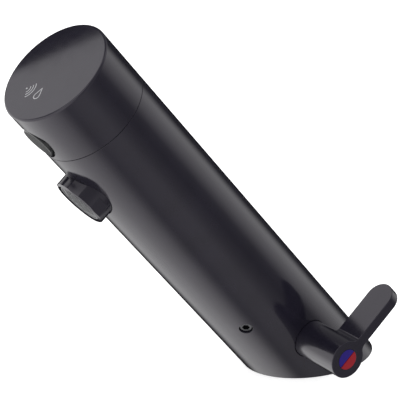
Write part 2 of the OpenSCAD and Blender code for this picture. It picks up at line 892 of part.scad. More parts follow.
module aerator_sleeve() {
    color(finish) along_body() out_of_underside(outlet_at) difference() {
        union() {
            bar(thread_r - run, spigot_end, sleeve_from + past);
            bar(sleeve_r, sleeve_from, flats_from);
            intersection() {
                bar(sleeve_r, flats_from - fit, outlet_reach);
                translate([0, 0, flats_from - past]) rotate([0, 0, 180 / flats_n])
                    cylinder(d = flats_af / cos(180 / flats_n), h = outlet_reach, $fn = flats_n);
            }
        }
        bar(spigot_bore, spigot_end - past, ledge_at + past);
        bar(sleeve_in, ledge_at, outlet_reach + past);
    }
}

module aerator_cup() {
    color("darkgray") along_body() out_of_underside(outlet_at) difference() {
        union() {
            bar(sleeve_in - fit, ledge_at + run, ledge_at + cup_flange_t);
            bar(insert_r, ledge_at + cup_flange_t - fit, outlet_reach - insert_set_back);
        }
        bar(insert_r - insert_wall, ledge_at + cup_flange_t, outlet_reach + past);
        bar(spigot_bore - 2, ledge_at - past, ledge_at + 2 * cup_flange_t);
    }
}

module aerator_grid() {
    pitch = cell_af + cell_web;
    grid_r = insert_r - insert_wall - fit;
    cells = ceil(grid_r / pitch) + 1;
    color("gray") along_body() out_of_underside(outlet_at)
        translate([0, 0, outlet_reach - grid_set_back - grid_t]) linear_extrude(grid_t) difference() {
            circle(r = grid_r);
            for (row = [-cells : cells], i = [-cells : cells])
                let (cell = [pitch * (i + (row % 2 == 0 ? 0 : 0.5)), pitch * row * sin(60)])
                if (norm(cell) < grid_r - cell_af / 2 - 0.7)
                    translate(cell) rotate(30) circle(d = cell_af / cos(30), $fn = 6);
        }
}

// Battery, its holder and the leads

module battery_holder() {
    room = 2 * lead_r;
    color("darkslategray") along_body() difference() {
        union() {
            intersection() {
                translate([-body_d, -holder_front, holder_at]) cube([2 * body_d, body_d, holder_to - holder_at]);
                union() {
                    bar(inner_r, holder_at, holder_at + plate_t);
                    bar(inner_r, holder_to - plate_t, holder_to);
                    translate([-battery_w / 2, -holder_front, holder_at])
                        cube([battery_w, holder_wall, holder_to - holder_at]);
                }
            }
        }
        for (side = [-1, 1]) translate([side * lead_x, 0, 0]) bar(room, holder_at - past, holder_to + past);
    }
}

module battery() {
    color("steelblue") along_body() translate([-battery_w / 2, battery_back - battery_t / 2, battery_from])
        cube([battery_w, battery_t, battery_l]);
}

module battery_contacts() {
    color("silver") along_body() for (side = [-1, 1])
        translate([side * contact_at - contact_w / 2, battery_back - contact_w / 2, holder_at + plate_t + run])
            cube([contact_w, contact_w, battery_from - holder_at - plate_t - 2 * run]);
}

module battery_lead() {
    level = holder_at + plate_t + 0.6;
    color("red") along_body() lead([
        [-contact_at - contact_w / 2 - fit, battery_back, level],
        [-battery_w / 2 - 0.7, battery_back, level],
        [-lead_x, 0, level + 4],
        [-lead_x, 0, window_at - board_l / 2 + 1],
        [-board_w / 2 + 2, -housing_from + board_t + lead_r + fit, window_at - board_l / 2 + 4]
    ], lead_r);
}

module solenoid_lead() {
    start = coil_to - 3;
    color("black") along_body() lead([
        [0, valve_back - coil_d / 2 + 0.9 - lead_r, start],
        [10, -6, start + lead_rise],
        [lead_x, 0, start + 2 * lead_rise + 2],
        [lead_x, 0, window_at - board_l / 2 + 1],
        [board_w / 2 - 2, -housing_from + board_t + lead_r + fit, window_at - board_l / 2 + 4]
    ], lead_r);
}

// Sensor

module circuit_board() {
    color("darkgreen") along_body() translate([-board_w / 2, -housing_from + run, window_at - board_l / 2])
        cube([board_w, board_t - run, board_l]);
}

module sensor_housing() {
    color("black") along_body() out_of_underside(window_at) difference() {
        bar(housing_r, housing_from, housing_to);
        for (side = [-1, 1]) translate([side * eye_apart / 2, 0, 0])
            bar(eye_r + fit, housing_from - past, housing_to + past);
    }
}

module eye(side) {
    along_body() out_of_underside(window_at) translate([side * eye_apart / 2, 0, 0])
        bar(eye_r, housing_from + fit, housing_from + eye_l);
}

module infrared_emitter() { color("lavender") eye(-1); }
module infrared_receiver() { color("black") eye(1); }

module window_seal() {
    color("black") along_body() out_of_underside(window_at)
        pipe(window_hole_r - run, window_r + run, window_back_at, body_r - window_t + 1.1);
}

module sensor_window() {
    color("dimgray") along_body() out_of_underside(window_at) bar(window_r, window_back_at, body_r);
}

body_shell();
head_shell();
head_seal();
head_grub_screw();
body_grub_screw();
base_seal();
valve_block();
inlet_strainers();
check_valve_cold();
check_valve_hot();
poppet_cold();
poppet_hot();
spring_cold();
spring_hot();
mixing_cartridge();
cartridge_seals();
fixed_disc();
moving_disc();
lever_stem();
stem_seal();
cartridge_cap();
cartridge_nut();
lever();
lever_screw();
index_blue();
index_red();
diaphragm();
valve_bonnet();
bonnet_screws();
solenoid_coil();
solenoid_yoke();
plunger();
plunger_spring();
outlet_tube();
tube_seals();
outlet_seat();
aerator_washer();
aerator_sleeve();
aerator_cup();
aerator_grid();
battery_holder();
battery();
battery_contacts();
battery_lead();
solenoid_lead();
circuit_board();
sensor_housing();
infrared_emitter();
infrared_receiver();
window_seal();
sensor_window();
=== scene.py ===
"""Sensor basin tap: the visible pieces, their finishes and the studio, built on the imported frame."""

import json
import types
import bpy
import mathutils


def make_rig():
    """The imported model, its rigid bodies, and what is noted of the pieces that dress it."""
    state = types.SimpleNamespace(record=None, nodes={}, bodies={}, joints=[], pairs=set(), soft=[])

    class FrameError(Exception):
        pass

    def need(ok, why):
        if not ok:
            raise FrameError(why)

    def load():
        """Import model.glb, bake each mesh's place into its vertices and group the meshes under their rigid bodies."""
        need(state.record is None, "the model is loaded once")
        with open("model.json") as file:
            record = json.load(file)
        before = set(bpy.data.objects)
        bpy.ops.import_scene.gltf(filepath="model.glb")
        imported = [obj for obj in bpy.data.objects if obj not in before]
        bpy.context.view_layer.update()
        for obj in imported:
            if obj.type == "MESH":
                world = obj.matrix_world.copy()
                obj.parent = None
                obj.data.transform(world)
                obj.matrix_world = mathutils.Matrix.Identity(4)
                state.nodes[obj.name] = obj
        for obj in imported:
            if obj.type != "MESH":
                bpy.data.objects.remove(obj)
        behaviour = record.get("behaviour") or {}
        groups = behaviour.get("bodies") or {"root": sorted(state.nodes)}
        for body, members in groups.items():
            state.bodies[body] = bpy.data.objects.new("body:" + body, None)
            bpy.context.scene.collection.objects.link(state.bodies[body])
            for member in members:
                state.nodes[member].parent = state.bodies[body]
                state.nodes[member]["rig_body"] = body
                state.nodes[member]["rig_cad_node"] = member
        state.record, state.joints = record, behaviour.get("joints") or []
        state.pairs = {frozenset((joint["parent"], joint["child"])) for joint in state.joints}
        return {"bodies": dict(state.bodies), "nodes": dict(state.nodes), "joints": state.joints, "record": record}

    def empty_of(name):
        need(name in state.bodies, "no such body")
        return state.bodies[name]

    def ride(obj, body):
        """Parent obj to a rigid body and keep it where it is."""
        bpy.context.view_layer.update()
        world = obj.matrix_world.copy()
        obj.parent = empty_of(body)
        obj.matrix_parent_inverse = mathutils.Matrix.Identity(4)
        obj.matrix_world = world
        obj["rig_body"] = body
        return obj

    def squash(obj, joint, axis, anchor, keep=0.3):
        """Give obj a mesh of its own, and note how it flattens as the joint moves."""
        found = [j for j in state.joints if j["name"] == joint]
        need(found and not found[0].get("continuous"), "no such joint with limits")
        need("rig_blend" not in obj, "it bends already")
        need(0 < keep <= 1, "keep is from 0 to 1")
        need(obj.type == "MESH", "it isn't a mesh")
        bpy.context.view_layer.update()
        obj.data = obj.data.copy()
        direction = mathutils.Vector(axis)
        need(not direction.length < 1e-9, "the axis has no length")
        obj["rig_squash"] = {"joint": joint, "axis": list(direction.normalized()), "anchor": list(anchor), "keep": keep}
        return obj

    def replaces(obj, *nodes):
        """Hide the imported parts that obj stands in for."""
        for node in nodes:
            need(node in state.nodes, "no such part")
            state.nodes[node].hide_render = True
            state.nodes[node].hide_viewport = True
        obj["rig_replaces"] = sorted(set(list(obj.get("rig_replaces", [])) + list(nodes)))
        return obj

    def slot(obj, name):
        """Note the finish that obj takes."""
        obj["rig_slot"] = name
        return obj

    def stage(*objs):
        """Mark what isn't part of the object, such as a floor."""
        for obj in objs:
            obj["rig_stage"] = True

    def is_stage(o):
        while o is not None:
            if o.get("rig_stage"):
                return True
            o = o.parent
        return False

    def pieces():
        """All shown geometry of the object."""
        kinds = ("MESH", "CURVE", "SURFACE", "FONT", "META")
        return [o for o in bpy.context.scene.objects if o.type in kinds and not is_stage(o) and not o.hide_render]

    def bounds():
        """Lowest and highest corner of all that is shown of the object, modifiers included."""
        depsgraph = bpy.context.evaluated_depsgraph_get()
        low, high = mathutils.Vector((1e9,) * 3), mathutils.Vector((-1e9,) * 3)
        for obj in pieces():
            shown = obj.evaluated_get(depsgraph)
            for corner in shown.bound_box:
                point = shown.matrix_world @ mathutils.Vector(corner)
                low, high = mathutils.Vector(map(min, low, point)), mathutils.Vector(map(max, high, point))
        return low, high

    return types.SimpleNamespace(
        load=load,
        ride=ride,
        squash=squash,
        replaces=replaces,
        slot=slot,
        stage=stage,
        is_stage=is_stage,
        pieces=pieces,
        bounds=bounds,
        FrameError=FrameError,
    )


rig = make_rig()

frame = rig.load()

import json
from math import acos, asin, atan2, ceil, cos, pi, radians, sin, sqrt, tan

import bmesh
import bpy
from bpy.props import FloatProperty, FloatVectorProperty, IntProperty, PointerProperty
from bpy.types import NodeSocket, Operator, Panel, PropertyGroup, Scene
from mathutils import Matrix, Vector, geometry

bl_info = {
    "name": "Sensor basin tap",
    "version": (1, 0, 0),
    "blender": (4, 5, 0),
    "location": "View3D > Sidebar > Tap",
    "description": "Builds the tap's visible pieces and its studio",
    "category": "Object",
}

MM = 0.001
UP = Vector((0, 0, 1))
# Turns about the body's axis, from the underside towards the lever's side, where the shells have corners
TURNS = [-pi + 2 * pi * i / 192 for i in range(193)]
# Turns along a softened edge, from the wall to the face
QUARTER = [pi / 2 * k / 5 for k in range(6)]
# Steps round an opening in a shell
RIM_STEPS = 96


def length(name, value, text):
    """A size in millimetres as a property that shows as a length."""
    return FloatProperty(name=name, description=text, default=value * MM, unit="LENGTH", precision=5)


def angle(name, value, text):
    """An angle in degrees as a property that shows as one."""
    return FloatProperty(name=name, description=text, default=radians(value), subtype="ANGLE")


def colour(name, value, text):
    return FloatVectorProperty(name=name, description=text, default=value, subtype="COLOR", min=0, max=1)


class TapSizes(PropertyGroup):
    """Sizes of the visible pieces"""

    lean: angle("Lean", 39.6, "Lean of the body from the vertical")
    body_r: length("Body radius", 25, "Radius of the round body")
    shell_in: length("Shell bore", 22.5, "Inside radius of the body and head shells")
    seam_at: length("Seam", 178.4, "Place of the seam along the body")
    seam_w: length("Seam width", 0.2, "Width of the seam between body and head")
    body_l: length("Body length", 205, "From the deck to the flat end face, on the axis")
    end_edge: length("End rounding", 1.0, "Rounding round the end face")
    soft_edge: length("Edge rounding", 0.15, "Rounding where the coated shell is cut")
    hub_at: length("Hub place", 26.4, "Place of the lever's hub along the body")
    hub_r: length("Hub radius", 8.6, "Radius of the lever's hub")
    hub_hole_r: length("Hub opening", 8.75, "Radius of the opening that the hub turns in")
    hub_from: length("Hub start", 18.5, "From the body's axis to the hub's inner end")
    hub_end: length("Hub end", 50.5, "From the body's axis to the hub's end face")
    paddle_w: length("Paddle width", 13.9, "Width of the lever's plate")
    paddle_t: length("Paddle thickness", 5, "Thickness of the lever's plate")
    paddle_l: length("Paddle reach", 37.8, "Reach of the plate from the hub's axis")
    paddle_blend: length("Paddle blend", 3, "Radius of the blend between plate and hub")
    paddle_edge: length("Paddle edge", 0.35, "Rounding of the lever's edges")
    paddle_rise: angle("Paddle rise", 40.6, "Rise of the plate above the level")
    index_r: length("Index recess", 4.7, "Radius of the recess for the index")
    index_t: length("Index depth", 1.5, "Depth of the recess for the index")
    outlet_at: length("Outlet place", 153.3, "Place of the outlet along the body")
    outlet_reach: length("Outlet face", 30.0, "From the body's axis to the outlet's face")
    sleeve_r: length("Sleeve radius", 12.25, "Radius of the aerator sleeve")
    flats_from: length("Flats start", 23.8, "From the body's axis to the foot of the flats")
    flats_af: length("Across flats", 23.8, "Size across the spanner flats")
    flats_n: IntProperty(name="Flats", description="Number of spanner flats", default=6, min=4)
    face_cut: length("Outlet chamfer", 1.2, "Width of the chamfer round the outlet's face")
    face_drop: length("Outlet chamfer height", 0.62, "Height of the chamfer round the outlet's face")
    sleeve_bore: length("Sleeve bore", 10.9, "Radius of the sleeve's bore")
    insert_r: length("Insert radius", 10, "Radius of the aerator insert")
    insert_wall: length("Insert wall", 0.9, "Wall of the aerator insert")
    insert_back: length("Insert set-back", 0.5, "From the outlet's face back to the insert")
    grid_back: length("Grid set-back", 0.8, "From the outlet's face back to the grid")
    cell_af: length("Grid cell", 2, "Size across one cell of the grid")
    cell_web: length("Grid web", 0.4, "Web between the cells of the grid")
    window_at: length("Window place", 188.15, "Place of the sensor window along the body")
    window_r: length("Window radius", 7.7, "Radius of the sensor window")
    window_hole_r: length("Window opening", 8.5, "Radius of the window's opening")
    window_t: length("Window thickness", 2.5, "Thickness of the sensor window")
    grub_at: length("Grub screw place", 54.3, "Place of the grub screw along the body")
    grub_turn: angle("Grub screw turn", 45.9, "Turn from the underside to the lever")
    grub_r: length("Grub screw radius", 3, "Radius of the grub screw's hole")
    head_grub_at: length("Head screw place", 175.6, "Place of the head's grub screw along the body")
    head_grub_r: length("Head screw radius", 1.5, "Radius of the head's grub screw hole")
    mark_line: length("Mark line", 0.42, "Width of the pictogram's lines")


class TapColours(PropertyGroup):
    """Colours of the visible finishes"""

    coating: colour("Coating", (0.0132, 0.0119, 0.0205), "Silk black of body, head, lever and outlet")
    insert: colour("Aerator", (0.19, 0.19, 0.196), "Pale grey plastic of the aerator")
    window: colour("Window", (0.020, 0.020, 0.022), "Smoked window over the sensor")
    cold: colour("Cold index", (0.013, 0.002, 0.185), "Blue half of the index")
    hot: colour("Hot index", (0.315, 0.0045, 0.014), "Red half of the index")
    marks: colour("Pictogram", (0.5, 0.5, 0.52), "Printed pictogram on the end face")
    floor: colour("Floor", (0.86, 0.86, 0.86), "Plain studio floor")


def sizes():
    return bpy.context.scene.tap_sizes


def colours():
    return bpy.context.scene.tap_colours


# Frames of the body, its bores and the lever


def body_frame():
    return Matrix.Rotation(sizes().lean, 4, "X")


def bore_frame(at, turn=0.0):
    """+Z points out of the body, at a turn from the underside towards the lever's side."""
    return (
        body_frame()
        @ Matrix.Translation((0, 0, at))
        @ Matrix.Rotation(turn, 4, "Z")
        @ Matrix.Rotation(pi / 2, 4, "X")
    )


def lever_frame():
    """+Z runs along the hub and +X along the lever's plate."""
    s = sizes()
    return (
        Matrix.Translation((0, -s.hub_at * sin(s.lean), s.hub_at * cos(s.lean)))
        @ Matrix.Rotation(s.paddle_rise, 4, "X")
        @ Matrix.Rotation(pi / 2, 4, "Z")
        @ Matrix.Rotation(pi / 2, 4, "X")
    )


# Outlines and profiles: points with the way that the surface faces there


def heading(a):
    """The way at an angle in a plane."""
    return Vector((cos(a), sin(a)))


def outward(turn):
    """The way out of the body at a turn from the underside."""
    return Vector((sin(turn), -cos(turn), 0))


def lifted(p, h):
    """A point of a plane at a height, or a way along it with a rise."""
    return Vector((*p, h))


def circle_outline(radius, count):
    turns = [2 * pi * i / count for i in range(count + 1)]
    return [(Vector((radius * cos(a), radius * sin(a))), heading(a)) for a in turns]


def circle(radius, count, h):
    """The points of a circle at a height."""
    return [lifted(p, h) for p, _ in circle_outline(radius, count)[:-1]]


def arc_outline(centre, radius, start, end, count, side=1):
    """Points of an arc. side is -1 where the surface faces the arc's middle."""
    ways = [heading(start + (end - start) * i / count) for i in range(count + 1)]
    return [(Vector(centre) + radius * way, side * way) for way in ways]


def hexagon_outline(across):
    """A hexagon with sharp corners, each corner once for each of its sides."""
    out = []
    corner = across / 2 / cos(pi / 6)
    for i in range(6):
        for turn in (-30, 30):
            a = radians(60 * i + turn)
            out.append((Vector((corner * cos(a), corner * sin(a))), heading(radians(60 * i))))
    return out + out[:1]


def rounded_profile(points, steps=5):
    """A line of (radius, height), or (radius, height, rounding) at a soft corner, made into (point, facing).

    The surface faces the right-hand side of the line's way."""
    flat = [Vector(p[:2]) for p in points]
    ways = [(b - a).normalized() for a, b in zip(flat, flat[1:])]
    facings = [Vector((way.y, -way.x)) for way in ways]
    out = [(flat[0], facings[0])]
    for i in range(1, len(flat) - 1):
        p, before, after = flat[i], facings[i - 1], facings[i]
        radius = points[i][2] if len(points[i]) > 2 else 0
        turn = before.angle_signed(after)
        if radius <= 0 or abs(turn) < 1e-4:
            out += [(p, before), (p, after)]
            continue
        cut = radius * tan(abs(turn) / 2)
        sign = 1 if before.cross(after) > 0 else -1
        middle = p - ways[i - 1] * cut - sign * radius * before
        for k in range(steps + 1):
            way = before.copy()
            way.rotate(Matrix.Rotation(sign * abs(turn) * k / steps, 2))
            out.append((middle + sign * radius * way, way))
    return out + [(flat[-1], facings[-1])]


def ring_edges(start, count):
    """The edges of a closed ring of points, by number."""
    return [(start + i, start + (i + 1) % count) for i in range(count)]


def flat_faces(points, edges, near):
    """Faces between the points and edges of a plane, as (numbers of the corners, middle)."""
    _, _, faces, origs, _, _ = geometry.delaunay_2d_cdt(points, edges, [], 0, near)
    for f in faces:
        corners = [origs[v][0] for v in f]
        yield corners, sum((points[c] for c in corners), Vector((0, 0))) / len(corners)


def inside(point, loop):
    """Whether a point of the plane lies in a closed loop."""
    hit = False
    for a, b in zip(loop, loop[1:] + loop[:1]):
        if (a.y > point.y) != (b.y > point.y):
            if point.x < a.x + (point.y - a.y) * (b.x - a.x) / (b.y - a.y):
                hit = not hit
    return hit


def placed(name, data):
    """A new object in the scene."""
    thing = bpy.data.objects.new(name, data)
    bpy.context.scene.collection.objects.link(thing)
    return thing


class Skin:
    """Collects faces with the way that each corner faces, so that shading follows the true form."""

    def __init__(self):
        self.bm = bmesh.new()
        self.facing = self.bm.loops.layers.float_vector.new("facing")

    def face(self, corners):
        """A face from corners of (point, facing), without those that fall together."""
        kept = [c for i, c in enumerate(corners) if (c[0] - corners[i - 1][0]).length > 1e-8]
        if len(kept) < 3:
            return
        loops = self.bm.faces.new([self.bm.verts.new(p) for p, _ in kept]).loops
        for loop, (_, way) in zip(loops, kept):
            loop[self.facing] = way

    def plane(self, points, facing):
        """A face whose corners all face one way."""
        self.face([(p, facing) for p in points])

    def rings(self, rings):
        """Faces between rings of (point, facing)."""
        for low, high in zip(rings, rings[1:]):
            for i in range(len(low) - 1):
                self.face([low[i], low[i + 1], high[i + 1], high[i]])

    def turn(self, ways, points, steps=5):
        """A profile turned about the axis, with corners at the ways given."""
        profile = rounded_profile(points, steps)
        self.rings([[(lifted(w * r, h), lifted(w * way.x, way.y)) for w in ways] for (r, h), way in profile])

    def lathe(self, points, count=128, steps=5):
        """A profile turned about the axis, set in from the circle that it reaches."""
        profile = rounded_profile(points, steps)
        reach = max(p.x for p, _ in profile)
        outline = circle_outline(reach, count)
        self.rings(
            [
                [(lifted(p - n * (reach - r), h), lifted(n * way.x, way.y)) for p, n in outline]
                for (r, h), way in profile
            ]
        )

    def flat(self, loop, facing, holes=()):
        """A flat face inside a loop of points, with holes left out. The loops lie in one plane."""
        facing = Vector(facing)
        across = facing.orthogonal().normalized()
        up = facing.cross(across)
        points, edges, spans = [], [], []
        for ring in (loop, *holes):
            start = len(points)
            points += ring
            edges += ring_edges(start, len(ring))
            spans.append((start, len(points)))
        plane = [Vector(((p - loop[0]).dot(across), (p - loop[0]).dot(up))) for p in points]
        outer, *inner = [plane[start:end] for start, end in spans]
        for corners, middle in flat_faces(plane, edges, 1e-9):
            if inside(middle, outer) and not any(inside(middle, rim) for rim in inner):
                self.plane([points[c] for c in corners], facing)

    def make(self, name, place, slot=None, replaces=(), body="tap", material=None):
        """Joins the faces into one piece, in place and riding on its body."""
        bmesh.ops.remove_doubles(self.bm, verts=self.bm.verts[:], dist=1e-7)

        def faces_inwards(face):
            return face.normal.dot(sum((loop[self.facing] for loop in face.loops), Vector())) < 0

        bmesh.ops.reverse_faces(self.bm, faces=[f for f in self.bm.faces if faces_inwards(f)])
        mesh = bpy.data.meshes.new(name)
        self.bm.to_mesh(mesh)
        self.bm.free()
        mesh.transform(place)
        turn = place.to_3x3()
        ways = [turn @ Vector(a.vector) for a in mesh.attributes["facing"].data]
        mesh.attributes.remove(mesh.attributes["facing"])
        mesh.shade_smooth()
        mesh.normals_split_custom_set([w.normalized() for w in ways])
        mesh.materials.append(material or finish(slot))
        piece = placed(name, mesh)
        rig.ride(piece, body)
        if slot:
            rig.slot(piece, slot)
        if replaces:
            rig.replaces(piece, *replaces)


class Shell(Skin):
    """The skin of a round shell. Each of its holes is (turn, place along the body, radius)."""

    def __init__(self, holes, edge):
        super().__init__()
        self.holes, self.edge = holes, edge

    def opening(self, radius, hole, grow, sink, tilt):
        """A ring round an opening as (point, facing, place), with the face bent towards it by tilt.

        The place is the point's own on the tube's face laid out flat."""
        turn, at, hole_r = hole
        out_way = outward(turn)
        side_way = Vector((cos(turn), sin(turn), 0))
        ring = []
        for i in range(RIM_STEPS):
            a = 2 * pi * i / RIM_STEPS
            across, along = (hole_r + grow) * cos(a), (hole_r + grow) * sin(a)
            lift = sqrt(radius * radius - across * across)
            point = out_way * (lift - sink) + side_way * across + Vector((0, 0, at + along))
            skin_way = (out_way * lift + side_way * across).normalized()
            rim_way = -(side_way * cos(a) + Vector((0, 0, sin(a))))
            facing = (skin_way * cos(tilt) + rim_way * sin(tilt)).normalized()
            ring.append((point, facing, Vector((radius * (turn + asin(across / radius)), at + along))))
        return ring

    def tube(self, radius, low, high, sign):
        """The outer face of the shell, or its bore with sign -1. low is a function of the turn.

        It is laid out flat, cut into faces there and wound round again."""
        edge = self.edge if sign > 0 else 0
        flat, made, edges = [], [], []

        def put(turn, z):
            way = outward(turn)
            flat.append(Vector((radius * turn, z)))
            made.append((way * radius + Vector((0, 0, z)), sign * way))
            return len(flat) - 1

        for line in ([put(t, low(t)) for t in TURNS], [put(t, high) for t in TURNS]):
            edges += list(zip(line, line[1:]))
        steps = 24
        first = low(-pi)
        for turn in (-pi, pi):
            column = [put(turn, first + (high - first) * k / steps) for k in range(1, steps)]
            edges += list(zip(column, column[1:]))
        rims = []
        for hole in self.holes:
            for stop in (0, 30, 60, 90) if edge > 0 else (0,):
                t = radians(stop)
                ring = self.opening(radius, hole, edge * (1 - sin(t)), edge * (1 - cos(t)), t)
                start = len(flat)
                for point, way, place in ring:
                    flat.append(place)
                    made.append((point, sign * way))
                edges += ring_edges(start, len(ring))
            clear = hole[2] * 1.06 + 3 * edge
            rims.append((Vector((radius * hole[0], hole[1])), clear, [place for _, _, place in ring]))
        for k in range(1, steps * 2):
            z = first + (high - first) * k / steps / 2
            for t in TURNS[1:-1]:
                here = Vector((radius * t, z))
                if z < low(t) + MM or high - z < MM:
                    continue
                if all((here - middle).length >= clear for middle, clear, _ in rims):
                    put(t, z)
        for corners, middle in flat_faces(flat, edges, 1e-10):
            if middle.y >= low(middle.x / radius) and not any(inside(middle, rim) for _, _, rim in rims):
                self.face([made[c] for c in corners])

    def walls(self, outer, inner):
        """Walls of the openings, from the rounded rim to the bore."""
        for hole in self.holes:
            top = self.opening(outer, hole, 0, self.edge, pi / 2)
            foot = self.opening(inner, hole, 0, 0, pi / 2)
            self.rings([[(p, way) for p, way, _ in ring + ring[:1]] for ring in (top, foot)])

    def ends(self, points, steps=5):
        """A turned profile whose corners meet those of the tube."""
        self.turn([outward(t).xy for t in TURNS], points, steps)


# Finishes


class Web:
    """The nodes of a material or a world"""

    def __init__(self, owner):
        owner.use_nodes = True
        self.nodes, self.links = owner.node_tree.nodes, owner.node_tree.links

    def put(self, value, socket):
        """Links another node's socket to a socket, or sets it to a value."""
        if isinstance(value, NodeSocket):
            self.links.new(value, socket)
        else:
            socket.default_value = value

    def add(self, kind, inputs=None, **settings):
        """A node with its settings and what its inputs take."""
        node = self.nodes.new("ShaderNode" + kind)
        for name, value in settings.items():
            setattr(node, name, value)
        for name, value in (inputs or {}).items():
            self.put(value, node.inputs[name])
        return node

    def maths(self, operation, *values):
        """A value from numbers and sockets."""
        return self.add("Math", dict(enumerate(values)), operation=operation).outputs[0]

    def mix(self, share, low, high):
        """low where share is 0, and high where it is 1."""
        rest = self.maths("SUBTRACT", 1.0, share)
        return self.maths("ADD", self.maths("MULTIPLY", low, rest), self.maths("MULTIPLY", high, share))

    def spread(self, value, start, stop, low, high, way="LINEAR"):
        """From low to high as a value goes from start to stop."""
        ends = {"From Min": start, "From Max": stop, "To Min": low, "To Max": high}
        return self.add("MapRange", {"Value": value, **ends}, interpolation_type=way).outputs["Result"]

    def ramp(self, value, stops):
        """A colour between stops of (value, colour)."""
        node = self.add("ValToRGB", {"Fac": value})
        marks = node.color_ramp.elements
        while len(marks) < len(stops):
            marks.new(0.5)
        for mark, (at, tone) in zip(marks, stops):
            mark.position = at
            mark.color = (*tone, 1)
        return node.outputs["Color"]


class Finish(Web):
    """A material, with uniform values on its shader's own sockets"""

    def __init__(self, name, values=None):
        self.material = bpy.data.materials.new(name)
        super().__init__(self.material)
        self.shader = self.nodes["Principled BSDF"]
        for socket, value in (values or {}).items():
            self.shader.inputs[socket].default_value = value

    def noise(self, scale, detail=3.0, stretch=None):
        """Noise in cells to the metre. stretch draws it out along one way."""
        place = self.add("TexCoord").outputs["Object"]
        if stretch:
            place = self.add("Mapping", {"Vector": place, "Scale": stretch}).outputs["Vector"]
        return self.add("TexNoise", {"Vector": place, "Scale": scale, "Detail": detail}).outputs["Fac"]

    def tint(self, cloud, base, change):
        """The colour, a little darker and lighter than its base."""
        dark, light = [c * (1 - change) for c in base], [min(1, c * (1 + change)) for c in base]
        self.put(self.ramp(cloud, ((0.3, dark), (0.7, light))), self.shader.inputs["Base Color"])

    def sheen(self, cloud, low, high):
        """The roughness, between two numbers."""
        self.put(self.spread(cloud, 0.3, 0.7, low, high), self.shader.inputs["Roughness"])

    def grain(self, cloud, depth, strength=0.25):
        """A fine relief."""
        bump = self.add("Bump", {"Height": cloud, "Distance": depth, "Strength": strength})
        self.put(bump.outputs["Normal"], self.shader.inputs["Normal"])


def coated(name, base):
    """A smooth dark coating with a very fine grain and slight changes of sheen."""
    coat = Finish(name, {"IOR": 1.5, "Specular Tint": (0.97, 0.92, 0.98, 1)})
    coat.tint(coat.noise(60, 4), base, 0.12)
    coat.sheen(coat.noise(220, 2), 0.115, 0.155)
    coat.grain(coat.noise(2600, 2), 0.000004, 0.05)
    return coat.material


def moulded(name, base, roughness, grain=900, depth=0.00003, change=0.08):
    """Plastic or rubber with a moulded grain."""
    plastic = Finish(name)
    cloud = plastic.noise(140)
    plastic.tint(cloud, base, change)
    plastic.sheen(cloud, roughness * 0.9, min(1, roughness * 1.12))
    plastic.grain(plastic.noise(grain), depth)
    return plastic.material


def machined(name, base, roughness):
    """Metal with the fine lines of turning or drawing."""
    metal = Finish(name, {"Metallic": 1.0})
    lines = metal.noise(420, 4, (1, 1, 14))
    metal.tint(lines, base, 0.1)
    metal.sheen(lines, roughness * 0.75, roughness * 1.25)
    metal.grain(lines, 0.00001, 0.2)
    return metal.material


def enamelled(name, base):
    """Coloured enamel under a thin clear layer."""
    gloss = {"Coat Weight": 0.06, "Coat Roughness": 0.12, "Roughness": 0.45, "Specular IOR Level": 0.3}
    enamel = Finish(name, gloss)
    enamel.tint(enamel.noise(700), base, 0.07)
    return enamel.material


def smoked(name, base):
    """Smoked infrared window: dark, smooth and faintly clouded."""
    glass = Finish(name, {"IOR": 1.52})
    glass.tint(glass.noise(90, 2), base, 0.15)
    glass.sheen(glass.noise(300, 2), 0.06, 0.1)
    return glass.material


# The finish of each of the record's slots: its kind, name, colour or the name of one of the tap's colours,
# and for some kinds the roughness, cells of grain to the metre, depth of the grain and change of colour
SLOTS = {
    "silk_black": (coated, "silk_black", "coating"),
    "screw_steel": (machined, "blackened_steel", (0.10, 0.10, 0.105), 0.42),
    "rubber": (moulded, "black_rubber", (0.022, 0.022, 0.023), 0.7, 1200),
    "brass": (machined, "machined_brass", (0.72, 0.52, 0.24), 0.3),
    "white_plastic": (moulded, "white_acetal", (0.8, 0.8, 0.77), 0.42),
    "pale_grid": (moulded, "aerator_grey", "insert", 0.5, 1500),
    "ceramic": (moulded, "lapped_ceramic", (0.85, 0.83, 0.76), 0.12, 2600, 0.000004, 0.03),
    "spring_steel": (machined, "stainless", (0.58, 0.58, 0.6), 0.25),
    "copper": (machined, "drawn_copper", (0.78, 0.43, 0.28), 0.22),
    "coil_tape": (moulded, "winding_tape", (0.55, 0.25, 0.06), 0.45, 500),
    "black_plastic": (moulded, "black_moulding", (0.03, 0.03, 0.033), 0.5),
    "battery_wrap": (moulded, "shrink_wrap", (0.05, 0.09, 0.17), 0.28, 240, 0.00005),
    "red_lead": (moulded, "red_insulation", (0.5, 0.03, 0.02), 0.4),
    "black_lead": (moulded, "black_insulation", (0.025, 0.025, 0.025), 0.4),
    "board": (moulded, "solder_mask", (0.02, 0.16, 0.06), 0.3, 800, 0.00001),
    "clear_eye": (moulded, "clear_resin", (0.6, 0.6, 0.7), 0.1, 2000, 0.000002, 0.02),
    "dark_eye": (moulded, "dark_resin", (0.03, 0.018, 0.035), 0.1, 2000, 0.000002, 0.02),
    "window": (smoked, "smoked_window", "window"),
    "index_blue": (enamelled, "blue_enamel", "cold"),
    "index_red": (enamelled, "red_enamel", "hot"),
}
FINISHES = {}


def finish(slot):
    """The finish of a slot, made once."""
    if slot not in FINISHES:
        kind, name, base, *values = SLOTS[slot]
        if isinstance(base, str):
            base = getattr(colours(), base)
        FINISHES[slot] = kind(name, base, *values)
    return FINISHES[slot]


# The pieces


